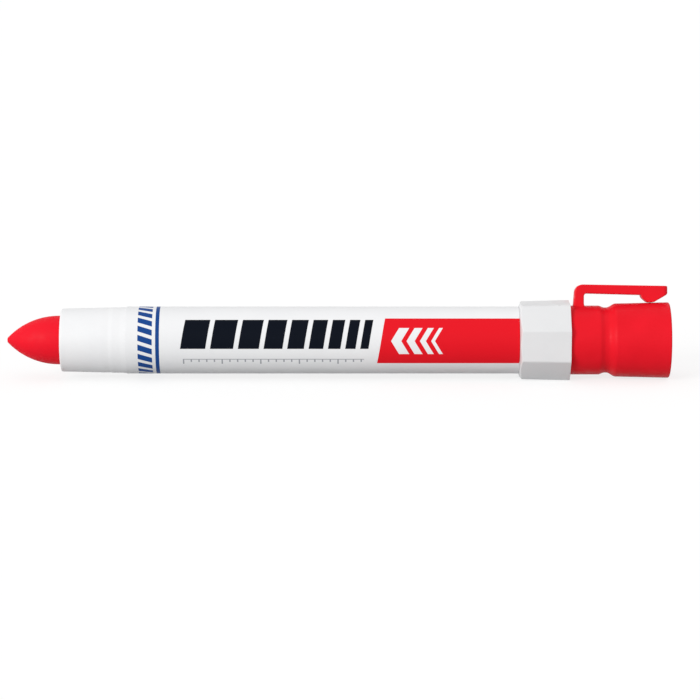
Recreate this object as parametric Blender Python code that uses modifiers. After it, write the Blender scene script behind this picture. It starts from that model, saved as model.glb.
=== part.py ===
"""Twist-up paint stick: solid paint in a plastic holder, its cap pushed into the back of the knob.

Sizes are in metres. Stations run along the marker from the tip of the paint, at 0, to the open end of
the cap. The marker lies along +X with its tip towards -X, and a flat of the knob rests on z = 0.
"""

import math

import bmesh
import bpy
from mathutils import Vector

MM = 0.001

# Paint: a solid round stick with an ogive tip and a thinner tail that the carrier holds
STICK_RADIUS = 6.35 * MM
STICK_LENGTH = 57.5 * MM
STICK_OUT = 14.15 * MM
OGIVE_LENGTH = 13.85 * MM
OGIVE_BLUNT = 0.46 * MM
TIP_ROUND = 0.26 * MM
TAIL_STEP = 1.05 * MM

# Barrel: a ribbed tube with a lip at the mouth, a stepped nose for the cap and a tenon for the knob
BARREL_LENGTH = 124.07 * MM
BARREL_WALL = 1.52 * MM
STICK_CLEARANCE = 0.25 * MM
RIB_HEIGHT = 0.5 * MM
RIB_WIDTH = 1.6 * MM
RIB_COUNT = 4
LIP_LENGTH = 1.5 * MM
LIP_TAPER = 0.6 * MM
MOUTH_ROUND = 0.5 * MM
MOUTH_DROP = 0.4 * MM
TAPER_DROP = 0.18 * MM
TAPER_LENGTH = 11.05 * MM
RING_DROP = 0.08 * MM
RING_LENGTH = 3.7 * MM
NOSE_STEP = 1.0 * MM
TENON_LENGTH = 4.9 * MM
TENON_STEP = 0.27 * MM

# Label: a printed film wrapped round the barrel
LABEL_GAP = 0.03 * MM
LABEL_THICKNESS = 0.1 * MM
LABEL_MARGIN = 0.4 * MM
LABEL_BACK = 0.05 * MM

# Carrier: a cup for the paint, a hollow stem and a nut, keyed to the barrel's ribs
CARRIER_CLEARANCE = 0.25 * MM
TAIL_FIT = 0.15 * MM
CUP_DEPTH = 5.0 * MM
CUP_FLOOR = 1.5 * MM
STEM_WALL = 1.4 * MM
STEM_CLEARANCE = 0.5 * MM
NUT_LENGTH = 8.0 * MM
NUT_DISC = 3.0 * MM
RETRACT_TRAVEL = 15.0 * MM

# Lead screw: one coarse right-hand thread, a flange and a square shank pressed into the knob
SCREW_LEAD = 5.0 * MM
SCREW_ROOT = 1.8 * MM
THREAD_HEIGHT = 0.8 * MM
THREAD_CREST = 1.0 * MM
THREAD_FLANK = 0.5 * MM
THREAD_CLEARANCE = 0.22 * MM
SCREW_END_ROOM = 0.5 * MM
SCREW_POINT = 1.2 * MM
FLANGE_RADIUS = 4.3 * MM
FLANGE_LENGTH = 1.6 * MM
SHANK_WIDTH = 4.0 * MM
SHANK_FIT = 0.1 * MM

# Knob: an eight-sided grip with a skirt over the tenon, a snap-in spigot and a socket for the cap
TURN_CLEARANCE = 0.25 * MM
SEAT_GAP = 0.3 * MM
FRONT_GAP = 0.15 * MM
KNOB_SIDES = 8
KNOB_LENGTH = 13.23 * MM
KNOB_WEB = 2.0 * MM
SKIRT_WALL = 1.03 * MM
SKIRT_LIP = 0.32 * MM
SOCKET_WALL = 0.69 * MM
FRONT_CHAMFER = 0.66 * MM
FRONT_CHAMFER_RISE = 1.5 * MM
SPIGOT_LENGTH = 8.5 * MM
SPIGOT_CLEARANCE = 0.3 * MM
SPIGOT_WALL = 1.8 * MM
BEAD_HEIGHT = 0.5 * MM
BEAD_WIDTH = 0.8 * MM
BEAD_SETBACK = 0.6 * MM
BEAD_ROOM = 0.25 * MM

# Cap: a narrow closed end that holds the tip, a waist, and a wide end that fits over the nose
CAP_FIT = 0.25 * MM
CAP_GRIP = 0.08 * MM
TIP_ROOM = 1.1 * MM
NECK_WALL = 1.55 * MM
NECK_LENGTH = 7.4 * MM
END_WALL = 1.3 * MM
END_CHAMFER = 0.6 * MM
WAIST_DEPTH = 0.49 * MM
WAIST_FALL = 2.1 * MM
WAIST_RISE = 2.6 * MM
SKIRT_LENGTH = 13.9 * MM
CAP_WALL = 1.24 * MM
CAP_DRAFT = 0.31 * MM
BORE_DRAFT = 0.12 * MM
BORE_LEAD = 0.6 * MM
RIM_ROUND = 0.2 * MM

# Clip: a leg on the cap's neck and a bar with a bump that presses on the cap
CLIP_ROLL = math.radians(10.5)
CLIP_SETBACK = 1.1 * MM
CLIP_WIDTH = 5.0 * MM
CLIP_GAP = 0.3 * MM
LEG_THICKNESS = 2.6 * MM
LEG_LEAN = 0.4 * MM
BAR_LENGTH = 24.4 * MM
BAR_THICKNESS = 2.35 * MM
BAR_STANDOFF = 3.15 * MM
BAR_FALL = 0.4 * MM
BUMP_START = 17.25 * MM
BUMP_FLAT = 2.0 * MM
BUMP_SLOPE = 1.3 * MM
BUMP_SHOULDER = 0.8 * MM
CLIP_CORNER = 2.1 * MM
CLIP_INNER_CORNER = 0.45 * MM
CLIP_EDGE = 0.35 * MM

# Facets and the overlap of shapes that are joined or cut
SEGMENTS = 48
THREAD_STEPS = 16
CURVE_STEPS = 4
OGIVE_STEPS = 8
OVERLAP = 0.5 * MM
OVERSHOOT = 2.0 * MM
WELD = 0.001 * MM
SHARP_ANGLE = math.radians(30)

# Radii that follow from the stick outwards
GUIDE_RADIUS = STICK_RADIUS + STICK_CLEARANCE
BORE_RADIUS = GUIDE_RADIUS + RIB_HEIGHT
BARREL_RADIUS = BORE_RADIUS + BARREL_WALL
MOUTH_RADIUS = BARREL_RADIUS - MOUTH_DROP
TAPER_RADIUS = BARREL_RADIUS - TAPER_DROP
RING_RADIUS = BARREL_RADIUS - RING_DROP
TENON_RADIUS = BARREL_RADIUS - TENON_STEP
TAIL_RADIUS = STICK_RADIUS - TAIL_STEP
SPIGOT_RADIUS = BORE_RADIUS - SPIGOT_CLEARANCE
BEAD_RADIUS = SPIGOT_RADIUS + BEAD_HEIGHT
SKIRT_BORE = TENON_RADIUS + TURN_CLEARANCE
TIP_BORE = STICK_RADIUS + TIP_ROOM
NECK_RADIUS = TIP_BORE + NECK_WALL
SOCKET_RADIUS = NECK_RADIUS + CAP_FIT
CAP_BORE = RING_RADIUS + CAP_GRIP
RIM_RADIUS = CAP_BORE + CAP_WALL
SHOULDER_RADIUS = RIM_RADIUS - CAP_DRAFT
DISC_RADIUS = BORE_RADIUS - CARRIER_CLEARANCE
CREST_RADIUS = SCREW_ROOT + THREAD_HEIGHT
STEM_BORE = CREST_RADIUS + STEM_CLEARANCE
STEM_RADIUS = STEM_BORE + STEM_WALL
FRONT_APOTHEM = SKIRT_BORE + SKIRT_WALL
REAR_APOTHEM = SOCKET_RADIUS + SOCKET_WALL

# Stations that follow from the tip backwards
MOUTH = STICK_OUT
BARREL_END = MOUTH + BARREL_LENGTH
TENON_START = BARREL_END - TENON_LENGTH
KNOB_FRONT = TENON_START + FRONT_GAP
KNOB_REAR = KNOB_FRONT + KNOB_LENGTH
WEB_FRONT = BARREL_END + SEAT_GAP
WEB_REAR = WEB_FRONT + KNOB_WEB
SPIGOT_FRONT = WEB_FRONT - SPIGOT_LENGTH
BEAD_START = SPIGOT_FRONT + BEAD_SETBACK
NOSE_END = MOUTH + TAPER_LENGTH + NOSE_STEP + RING_LENGTH + NOSE_STEP
LABEL_START = NOSE_END + LABEL_MARGIN
LABEL_END = TENON_START - LABEL_BACK
NUT_REAR = SPIGOT_FRONT - SEAT_GAP - RETRACT_TRAVEL
NUT_FRONT = NUT_REAR - NUT_LENGTH
CUP_BASE = STICK_LENGTH + SEAT_GAP
CUP_FRONT = CUP_BASE - CUP_DEPTH
STEM_FRONT = CUP_BASE + CUP_FLOOR
SCREW_FRONT = STEM_FRONT + RETRACT_TRAVEL + SCREW_END_ROOM
FLANGE_REAR = WEB_FRONT - SEAT_GAP
FLANGE_FRONT = FLANGE_REAR - FLANGE_LENGTH
CAP_END = WEB_REAR + SEAT_GAP
WAIST_START = KNOB_REAR + NECK_LENGTH
WAIST_LOW = WAIST_START + WAIST_FALL
SKIRT_START = WAIST_LOW + WAIST_RISE
CAP_RIM = SKIRT_START + SKIRT_LENGTH
CLIP_BACK = KNOB_REAR + CLIP_SETBACK
MARKER_LENGTH = CAP_RIM


def collection(name):
    """A collection of the scene for finished parts or for hidden cutters."""
    made = bpy.data.collections.new(name)
    bpy.context.scene.collection.children.link(made)
    return made


def plastic(name, colour, roughness):
    """A plain Principled material."""
    made = bpy.data.materials.new(name)
    made.use_nodes = True
    shader = made.node_tree.nodes["Principled BSDF"]
    shader.inputs["Base Color"].default_value = (*colour, 1.0)
    shader.inputs["Roughness"].default_value = roughness
    return made


def frame(name, parent=None, location=(0.0, 0.0, 0.0), rotation=(0.0, 0.0, 0.0)):
    """An empty that places the pieces parented to it."""
    made = bpy.data.objects.new(name, None)
    made.empty_display_size = STICK_RADIUS
    made.parent = parent
    made.location = location
    made.rotation_euler = rotation
    PARTS.objects.link(made)
    return made


def cutter(made):
    """Hides a shape that only joins, cuts or trims another."""
    made.hide_render = True
    made.display_type = "WIRE"
    CUTTERS.objects.link(made)
    return made


def piece(made, material):
    """Bakes a part's modifiers into its mesh and gives it its material and its sharp edges."""
    PARTS.objects.link(made)
    bpy.context.view_layer.update()
    evaluated = made.evaluated_get(bpy.context.evaluated_depsgraph_get())
    baked = bpy.data.meshes.new_from_object(evaluated)
    baked.name = made.name
    made.modifiers.clear()
    made.data = baked
    baked.materials.clear()
    baked.materials.append(material)
    baked.shade_smooth()
    baked.set_sharp_from_angle(angle=SHARP_ANGLE)
    return made


def turned(name, profile, parent):
    """A round piece: a profile of (radius, station), down its outer side from the cap's end to the tip."""
    closed = profile[0][0] > 0
    mesh = bpy.data.meshes.new(name)
    points = [(radius, 0.0, station) for radius, station in profile]
    edges = [(index, index + 1) for index in range(len(points) - 1)]
    if closed:
        edges.append((len(points) - 1, 0))
    mesh.from_pydata(points, edges, [])
    made = bpy.data.objects.new(name, mesh)
    made.parent = parent
    spin = made.modifiers.new("Turn", "SCREW")
    spin.axis = "Z"
    spin.steps = SEGMENTS
    spin.render_steps = SEGMENTS
    spin.use_merge_vertices = True
    spin.merge_threshold = WELD
    return made


def boolean(made, other, operation):
    """Joins, cuts or trims a piece with another shape."""
    step = made.modifiers.new(operation.title(), "BOOLEAN")
    step.operation = operation
    step.object = other
    step.solver = "EXACT"


def block(name, size, centre, parent, turn=0.0):
    """A box of a radial depth, a width and a length, turned round the marker's axis."""
    mesh = bpy.data.meshes.new(name)
    shape = bmesh.new()
    bmesh.ops.create_cube(shape, size=1.0)
    bmesh.ops.scale(shape, vec=size, verts=shape.verts)
    bmesh.ops.translate(shape, vec=centre, verts=shape.verts)
    shape.to_mesh(mesh)
    shape.free()
    made = bpy.data.objects.new(name, mesh)
    made.parent = parent
    made.rotation_euler = (0.0, 0.0, turn)
    return made


def threaded(name, start, end, clearance, parent):
    """A rod with the screw's ridge, in step with the screw, that covers start to end with a turn to spare."""
    first = math.floor((start - SCREW_FRONT) / SCREW_LEAD) - 1
    last = math.ceil((end - SCREW_FRONT) / SCREW_LEAD) + 1
    root = SCREW_ROOT + clearance
    crest = CREST_RADIUS + clearance
    wide = THREAD_CREST / 2 + THREAD_FLANK + clearance
    narrow = THREAD_CREST / 2 + clearance
    middle = SCREW_LEAD / 2
    base = SCREW_FRONT + first * SCREW_LEAD
    points = [
        (root, 0.0, base),
        (root, 0.0, base + middle - wide),
        (crest, 0.0, base + middle - narrow),
        (crest, 0.0, base + middle + narrow),
        (root, 0.0, base + middle + wide),
        (root, 0.0, base + SCREW_LEAD),
    ]
    profile = bpy.data.meshes.new(name)
    profile.from_pydata(points, [(index, index + 1) for index in range(len(points) - 1)], [])
    made = bpy.data.objects.new(name, profile)
    made.parent = parent
    CUTTERS.objects.link(made)
    helix = made.modifiers.new("Helix", "SCREW")
    helix.axis = "Z"
    helix.screw_offset = SCREW_LEAD
    helix.iterations = last - first
    helix.steps = THREAD_STEPS
    helix.render_steps = THREAD_STEPS
    bpy.context.view_layer.update()
    evaluated = made.evaluated_get(bpy.context.evaluated_depsgraph_get())
    rod = bpy.data.meshes.new_from_object(evaluated)
    made.modifiers.clear()
    CUTTERS.objects.unlink(made)
    shape = bmesh.new()
    shape.from_mesh(rod)
    bmesh.ops.remove_doubles(shape, verts=shape.verts, dist=WELD)
    rims = [edge for edge in shape.edges if edge.is_boundary]
    ends = bmesh.ops.holes_fill(shape, edges=rims, sides=0)["faces"]
    bmesh.ops.poke(shape, faces=ends)
    bmesh.ops.recalc_face_normals(shape, faces=shape.faces)
    shape.to_mesh(rod)
    shape.free()
    made.data = rod
    return made


def ogive_radius(station):
    """The paint's radius on its pointed end."""
    curve = (STICK_RADIUS**2 + OGIVE_LENGTH**2) / (2 * STICK_RADIUS)
    behind = OGIVE_LENGTH - OGIVE_BLUNT - station
    return math.sqrt(curve**2 - behind**2) + STICK_RADIUS - curve


def cap_radius(station):
    """The outside radius of the cap's wide end."""
    share = (station - SKIRT_START) / SKIRT_LENGTH
    return SHOULDER_RADIUS + (RIM_RADIUS - SHOULDER_RADIUS) * share


def eased(start, end, first, last):
    """Points of an S-curve in radius from one station to another, without its start point."""
    points = []
    for step in range(1, CURVE_STEPS + 1):
        share = step / CURVE_STEPS
        blend = (1 - math.cos(math.pi * share)) / 2
        points.append((first + (last - first) * blend, start + (end - start) * share))
    return points


def rounded(corners):
    """An outline with each corner of (x, y, radius) turned into an arc."""
    outline = []
    for index, (x, y, radius) in enumerate(corners):
        corner = Vector((x, y))
        before = (Vector(corners[index - 1][:2]) - corner).normalized()
        after = (Vector(corners[(index + 1) % len(corners)][:2]) - corner).normalized()
        if radius == 0:
            outline.append(corner)
            continue
        half = before.angle(after) / 2
        centre = corner + (before + after).normalized() * (radius / math.sin(half))
        arm = corner + before * (radius / math.tan(half)) - centre
        sweep = math.copysign(math.pi - 2 * half, before.cross(after))
        for step in range(CURVE_STEPS + 1):
            turn = -sweep * step / CURVE_STEPS
            across = arm.x * math.cos(turn) - arm.y * math.sin(turn)
            along = arm.x * math.sin(turn) + arm.y * math.cos(turn)
            outline.append(centre + Vector((across, along)))
    return outline


for old in list(bpy.data.objects):
    bpy.data.objects.remove(old)

PARTS = collection("paint_stick_marker")
CUTTERS = collection("cutters")

WHITE = plastic("white_plastic", (0.88, 0.88, 0.89), 0.4)
KNOB_WHITE = plastic("knob_plastic", (0.78, 0.78, 0.785), 0.4)
FILM = plastic("label_film", (0.9, 0.9, 0.91), 0.3)
PAINT = plastic("solid_paint", (0.9, 0.02, 0.03), 0.55)
RED = plastic("red_plastic", (0.78, 0.02, 0.03), 0.35)
CLIP_RED = plastic("clip_plastic", (0.78, 0.02, 0.03), 0.35)
NATURAL = plastic("natural_plastic", (0.75, 0.74, 0.7), 0.5)
SCREW_NATURAL = plastic("screw_plastic", (0.75, 0.74, 0.7), 0.5)

# The marker's own frame: its x is up, its y faces the front and its z runs from the tip to the cap
MARKER = frame(
    "marker_axis",
    location=(-MARKER_LENGTH / 2, 0.0, REAR_APOTHEM),
    rotation=(math.pi, -math.pi / 2, 0.0),
)
ADVANCE = frame("stick_advance", MARKER)
TURN = frame("knob_turn", MARKER)
PULL = frame("cap_pull", TURN)
ROLL = frame("clip_roll", PULL, rotation=(0.0, 0.0, -CLIP_ROLL))

# Barrel: the tube is turned, then the ribs that key the carrier are joined to its bore
quarter = math.pi / 2 / CURVE_STEPS
mouth_edge = [
    (
        MOUTH_RADIUS - MOUTH_ROUND + MOUTH_ROUND * math.cos(quarter * step),
        MOUTH + MOUTH_ROUND - MOUTH_ROUND * math.sin(quarter * step),
    )
    for step in range(CURVE_STEPS + 1)
]
taper_end = MOUTH + TAPER_LENGTH
ring_start = taper_end + NOSE_STEP
groove_front = BEAD_START - BEAD_ROOM
groove_rear = BEAD_START + BEAD_WIDTH + BEAD_ROOM
groove_radius = BEAD_RADIUS + BEAD_ROOM
barrel = turned(
    "barrel",
    [
        (BORE_RADIUS, BARREL_END),
        (TENON_RADIUS, BARREL_END),
        (TENON_RADIUS, TENON_START),
        (BARREL_RADIUS, TENON_START),
        (BARREL_RADIUS, NOSE_END),
        (RING_RADIUS, ring_start + RING_LENGTH),
        (RING_RADIUS, ring_start),
        (TAPER_RADIUS, taper_end),
        *mouth_edge,
        (GUIDE_RADIUS, MOUTH),
        (GUIDE_RADIUS, MOUTH + LIP_LENGTH),
        (BORE_RADIUS, MOUTH + LIP_LENGTH + LIP_TAPER),
        (BORE_RADIUS, groove_front),
        (groove_radius, groove_front),
        (groove_radius, groove_rear),
        (BORE_RADIUS, groove_rear),
    ],
    MARKER,
)
rib_front = MOUTH + LIP_LENGTH - OVERLAP
rib_rear = SPIGOT_FRONT - SEAT_GAP
rib_inner = GUIDE_RADIUS + STICK_CLEARANCE / 4
rib_outer = BORE_RADIUS + OVERLAP
for count in range(RIB_COUNT):
    rib = block(
        f"rib_{count}",
        (rib_outer - rib_inner, RIB_WIDTH, rib_rear - rib_front),
        ((rib_outer + rib_inner) / 2, 0.0, (rib_rear + rib_front) / 2),
        MARKER,
        math.tau * (count + 1 / 2) / RIB_COUNT,
    )
    boolean(barrel, cutter(rib), "UNION")
piece(barrel, WHITE)

# Label
label_inner = BARREL_RADIUS + LABEL_GAP
label_outer = label_inner + LABEL_THICKNESS
label = turned(
    "label",
    [
        (label_inner, LABEL_END),
        (label_outer, LABEL_END),
        (label_outer, LABEL_START),
        (label_inner, LABEL_START),
    ],
    MARKER,
)
piece(label, FILM)

# Paint stick: the tail sits in the carrier's cup and the shoulder on its rim
ogive_start = TIP_ROUND
ogive_end = OGIVE_LENGTH - OGIVE_BLUNT
ogive = []
for step in range(OGIVE_STEPS + 1):
    station = ogive_end + (ogive_start - ogive_end) * step / OGIVE_STEPS
    ogive.append((ogive_radius(station), station))
shoulder = CUP_FRONT - SEAT_GAP
paint_stick = turned(
    "paint_stick",
    [
        (0.0, STICK_LENGTH),
        (TAIL_RADIUS, STICK_LENGTH),
        (TAIL_RADIUS, shoulder),
        (STICK_RADIUS, shoulder),
        *ogive,
        (ogive_radius(ogive_start) - TIP_ROUND, 0.0),
        (0.0, 0.0),
    ],
    ADVANCE,
)
piece(paint_stick, PAINT)

# Carrier: a spool with the cup in front and the nut behind, notched for the ribs and threaded
cup_radius = TAIL_RADIUS + TAIL_FIT
pilot = SCREW_ROOT
carrier = turned(
    "carrier",
    [
        (0.0, STEM_FRONT),
        (STEM_BORE, STEM_FRONT),
        (STEM_BORE, NUT_FRONT),
        (pilot, NUT_FRONT),
        (pilot, NUT_REAR),
        (DISC_RADIUS, NUT_REAR),
        (DISC_RADIUS, NUT_REAR - NUT_DISC),
        (STEM_RADIUS, NUT_REAR - NUT_DISC),
        (STEM_RADIUS, STEM_FRONT),
        (DISC_RADIUS, STEM_FRONT),
        (DISC_RADIUS, CUP_FRONT),
        (cup_radius, CUP_FRONT),
        (cup_radius, CUP_BASE),
        (0.0, CUP_BASE),
    ],
    ADVANCE,
)
notch_inner = rib_inner - CARRIER_CLEARANCE
notch_outer = DISC_RADIUS + OVERLAP
notch_front = CUP_FRONT - OVERSHOOT
notch_rear = NUT_REAR + OVERSHOOT
for count in range(RIB_COUNT):
    notch = block(
        f"notch_{count}",
        (notch_outer - notch_inner, RIB_WIDTH + 2 * CARRIER_CLEARANCE, notch_rear - notch_front),
        ((notch_outer + notch_inner) / 2, 0.0, (notch_rear + notch_front) / 2),
        ADVANCE,
        math.tau * (count + 1 / 2) / RIB_COUNT,
    )
    boolean(carrier, cutter(notch), "DIFFERENCE")
tap = threaded("tap", NUT_FRONT, NUT_REAR, THREAD_CLEARANCE, ADVANCE)
boolean(carrier, cutter(tap), "DIFFERENCE")
piece(carrier, NATURAL)

# Lead screw: the thread is trimmed to a pointed rod, then joined to its flange and shank
lead_screw = threaded("lead_screw", SCREW_FRONT, FLANGE_REAR, 0.0, TURN)
trim_radius = CREST_RADIUS + OVERSHOOT
trim = turned(
    "screw_trim",
    [
        (0.0, FLANGE_FRONT + OVERLAP),
        (trim_radius, FLANGE_FRONT + OVERLAP),
        (trim_radius, SCREW_FRONT + trim_radius - SCREW_POINT),
        (SCREW_POINT, SCREW_FRONT),
        (0.0, SCREW_FRONT),
    ],
    TURN,
)
boolean(lead_screw, cutter(trim), "INTERSECT")
flange = turned(
    "screw_flange",
    [
        (0.0, FLANGE_REAR),
        (FLANGE_RADIUS, FLANGE_REAR),
        (FLANGE_RADIUS, FLANGE_FRONT),
        (0.0, FLANGE_FRONT),
    ],
    TURN,
)
boolean(lead_screw, cutter(flange), "UNION")
shank = block(
    "screw_shank",
    (SHANK_WIDTH, SHANK_WIDTH, WEB_REAR - FLANGE_REAR + OVERLAP),
    (0.0, 0.0, (WEB_REAR + FLANGE_REAR - OVERLAP) / 2),
    TURN,
)
boolean(lead_screw, cutter(shank), "UNION")
piece(lead_screw, SCREW_NATURAL)

# Knob: an eight-sided block with a chamfered front, hollowed from both ends
half_side = math.pi / KNOB_SIDES
front_corner = FRONT_APOTHEM / math.cos(half_side)
rear_corner = REAR_APOTHEM / math.cos(half_side)
knob_mesh = bpy.data.meshes.new("knob")
knob_shape = bmesh.new()
bmesh.ops.create_cone(
    knob_shape,
    cap_ends=True,
    segments=KNOB_SIDES,
    radius1=front_corner,
    radius2=rear_corner,
    depth=KNOB_LENGTH,
)
bmesh.ops.translate(knob_shape, vec=(0.0, 0.0, (KNOB_FRONT + KNOB_REAR) / 2), verts=knob_shape.verts)
knob_shape.to_mesh(knob_mesh)
knob_shape.free()
knob = bpy.data.objects.new("knob", knob_mesh)
knob.parent = TURN
knob.rotation_euler = (0.0, 0.0, half_side)
chamfer_slope = FRONT_CHAMFER_RISE / FRONT_CHAMFER
front_radius = SKIRT_BORE + SKIRT_LIP
wide_radius = rear_corner + OVERSHOOT
chamfer = turned(
    "knob_chamfer",
    [
        (0.0, KNOB_REAR + OVERSHOOT),
        (wide_radius, KNOB_REAR + OVERSHOOT),
        (wide_radius, KNOB_FRONT + (wide_radius - front_radius) / chamfer_slope),
        (front_radius - OVERLAP * chamfer_slope, KNOB_FRONT - OVERLAP),
        (0.0, KNOB_FRONT - OVERLAP),
    ],
    TURN,
)
boolean(knob, cutter(chamfer), "INTERSECT")
skirt_bore = turned(
    "skirt_bore",
    [
        (0.0, WEB_FRONT),
        (SKIRT_BORE, WEB_FRONT),
        (SKIRT_BORE, KNOB_FRONT - OVERSHOOT),
        (0.0, KNOB_FRONT - OVERSHOOT),
    ],
    TURN,
)
boolean(knob, cutter(skirt_bore), "DIFFERENCE")
spigot = turned(
    "spigot",
    [
        (SPIGOT_RADIUS - SPIGOT_WALL, WEB_FRONT + OVERLAP),
        (SPIGOT_RADIUS, WEB_FRONT + OVERLAP),
        (SPIGOT_RADIUS, BEAD_START + BEAD_WIDTH),
        (BEAD_RADIUS, BEAD_START + BEAD_WIDTH / 2),
        (SPIGOT_RADIUS, BEAD_START),
        (SPIGOT_RADIUS, SPIGOT_FRONT),
        (SPIGOT_RADIUS - SPIGOT_WALL, SPIGOT_FRONT),
    ],
    TURN,
)
boolean(knob, cutter(spigot), "UNION")
socket = turned(
    "socket",
    [
        (0.0, KNOB_REAR + OVERSHOOT),
        (SOCKET_RADIUS, KNOB_REAR + OVERSHOOT),
        (SOCKET_RADIUS, WEB_REAR),
        (0.0, WEB_REAR),
    ],
    TURN,
)
boolean(knob, cutter(socket), "DIFFERENCE")
shank_width = SHANK_WIDTH + 2 * SHANK_FIT
shank_hole = block(
    "shank_hole",
    (shank_width, shank_width, KNOB_WEB + 2 * OVERLAP),
    (0.0, 0.0, (WEB_FRONT + WEB_REAR) / 2),
    TURN,
)
boolean(knob, cutter(shank_hole), "DIFFERENCE")
piece(knob, KNOB_WHITE)

# Cap: the closed end sits in the knob's socket, and the open end faces away from the tip
waist_radius = NECK_RADIUS - WAIST_DEPTH
neck_down = eased(SKIRT_START, WAIST_LOW, SHOULDER_RADIUS, waist_radius)
waist_down = eased(WAIST_LOW, WAIST_START, waist_radius, NECK_RADIUS)
inner_shoulder = SKIRT_START - CAP_DRAFT
cap = turned(
    "cap",
    [
        (0.0, CAP_END + END_WALL),
        (TIP_BORE, CAP_END + END_WALL),
        (TIP_BORE, inner_shoulder),
        (CAP_BORE - BORE_DRAFT, inner_shoulder + BORE_LEAD),
        (CAP_BORE, CAP_RIM - RIM_ROUND),
        (CAP_BORE + RIM_ROUND, CAP_RIM),
        (RIM_RADIUS - RIM_ROUND, CAP_RIM),
        (RIM_RADIUS, CAP_RIM - RIM_ROUND),
        (SHOULDER_RADIUS, SKIRT_START),
        *neck_down,
        *waist_down,
        (NECK_RADIUS, CAP_END + END_CHAMFER),
        (NECK_RADIUS - END_CHAMFER, CAP_END),
        (0.0, CAP_END),
    ],
    PULL,
)
piece(cap, RED)

# Clip: its side outline, drawn from its hinge at the foot of the leg, is given its width
hinge_station = CLIP_BACK + LEG_THICKNESS / 2
HINGE = frame("clip_hinge", ROLL, location=(NECK_RADIUS, 0.0, hinge_station))
foot = CLIP_GAP
under = BAR_STANDOFF
top = under + BAR_THICKNESS
back = -LEG_THICKNESS / 2
front = LEG_THICKNESS / 2
end = back + BAR_LENGTH
bump_left = back + BUMP_START
bump_right = bump_left + BUMP_SLOPE + BUMP_FLAT
bump_low = cap_radius(hinge_station + bump_right) - NECK_RADIUS + CLIP_GAP
outline = rounded(
    [
        (back, foot, 0.0),
        (back + LEG_LEAN, top, CLIP_CORNER),
        (end, top - BAR_FALL, CLIP_EDGE),
        (end, under - BAR_FALL, CLIP_EDGE / 2),
        (bump_right, bump_low, CLIP_EDGE),
        (bump_left + BUMP_SLOPE, bump_low, CLIP_EDGE),
        (bump_left, under - BAR_FALL - BUMP_SHOULDER, CLIP_EDGE),
        (bump_left, under - BAR_FALL, 0.0),
        (front, under, CLIP_INNER_CORNER),
        (front, foot, 0.0),
    ]
)
clip_curve = bpy.data.curves.new("clip", "CURVE")
clip_curve.dimensions = "2D"
clip_curve.fill_mode = "BOTH"
clip_curve.extrude = CLIP_WIDTH / 2
spline = clip_curve.splines.new("POLY")
spline.points.add(len(outline) - 1)
for point, place in zip(spline.points, outline):
    point.co = (place.x, place.y, 0.0, 1.0)
spline.use_cyclic_u = True
clip = bpy.data.objects.new("clip", clip_curve)
clip.parent = HINGE
clip.rotation_euler = (-math.pi / 2, -math.pi / 2, 0.0)
clip_curve.materials.append(CLIP_RED)
PARTS.objects.link(clip)
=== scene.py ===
"""Looks of a twist-up paint stick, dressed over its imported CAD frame.

Sizes are in metres. The marker lies along X with its paint towards -X, and its printed side faces -Y.
"""

import math

import bmesh
import bpy
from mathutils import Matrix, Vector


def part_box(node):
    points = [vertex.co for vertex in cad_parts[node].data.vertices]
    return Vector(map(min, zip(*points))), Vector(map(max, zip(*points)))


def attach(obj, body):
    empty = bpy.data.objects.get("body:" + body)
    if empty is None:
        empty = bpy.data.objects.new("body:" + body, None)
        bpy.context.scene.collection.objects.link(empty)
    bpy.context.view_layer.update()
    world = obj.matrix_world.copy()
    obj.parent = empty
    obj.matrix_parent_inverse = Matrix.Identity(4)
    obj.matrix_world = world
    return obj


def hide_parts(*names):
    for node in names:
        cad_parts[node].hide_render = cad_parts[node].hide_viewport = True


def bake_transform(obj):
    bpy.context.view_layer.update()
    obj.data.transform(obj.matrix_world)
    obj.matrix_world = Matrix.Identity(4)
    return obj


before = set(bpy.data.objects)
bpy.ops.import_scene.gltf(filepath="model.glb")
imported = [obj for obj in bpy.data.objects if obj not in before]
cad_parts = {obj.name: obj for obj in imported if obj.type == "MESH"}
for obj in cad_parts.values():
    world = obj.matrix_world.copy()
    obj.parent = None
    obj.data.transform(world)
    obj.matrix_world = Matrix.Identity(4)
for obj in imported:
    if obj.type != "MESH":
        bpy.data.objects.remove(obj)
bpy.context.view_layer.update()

# Barrel
# The holder is one tube of white polypropylene, injection moulded. Its stepped nose takes the cap, a thinner
# tenon at the back carries the knob, and four ribs in the bore stop the paint's carrier from turning.

MM = 0.001
WELD = 0.002 * MM
ROUND_SIDES = 96
BEVEL_STEPS = 4
SHARP_ANGLE = math.radians(35.0)

barrel_low, barrel_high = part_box("barrel")
axis_height = (barrel_low.z + barrel_high.z) / 2
barrel_radius = (barrel_high.z - barrel_low.z) / 2
barrel_mouth = barrel_low.x
barrel_end = barrel_high.x
mouth_radius = barrel_radius - 0.4 * MM
mouth_round = 0.45 * MM
taper_radius = barrel_radius - 0.15 * MM
ring_radius = barrel_radius - 0.08 * MM
first_line = barrel_mouth + 10.35 * MM
first_rise = 0.04 * MM
second_line = barrel_mouth + 13.15 * MM
second_rise = 0.085 * MM
line_half = 0.5 * MM
line_round = 0.12 * MM
ring_end = barrel_mouth + 15.75 * MM
nose_end = ring_end + 1.0 * MM
nose_round = 0.4 * MM
tenon_radius = barrel_radius - 0.27 * MM
tenon_start = barrel_end - 4.9 * MM
shoulder_round = 0.12 * MM
rim_round = 0.2 * MM
bore_radius = barrel_radius - 1.52 * MM
lip_radius = bore_radius - 0.5 * MM
lip_end = barrel_mouth + 1.5 * MM
lip_round = 0.1 * MM
bore_start = barrel_mouth + 2.1 * MM
groove_radius = bore_radius + 0.45 * MM
groove_front = barrel_end - 7.85 * MM
groove_rear = barrel_end - 6.55 * MM
rib_count = 4
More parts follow.
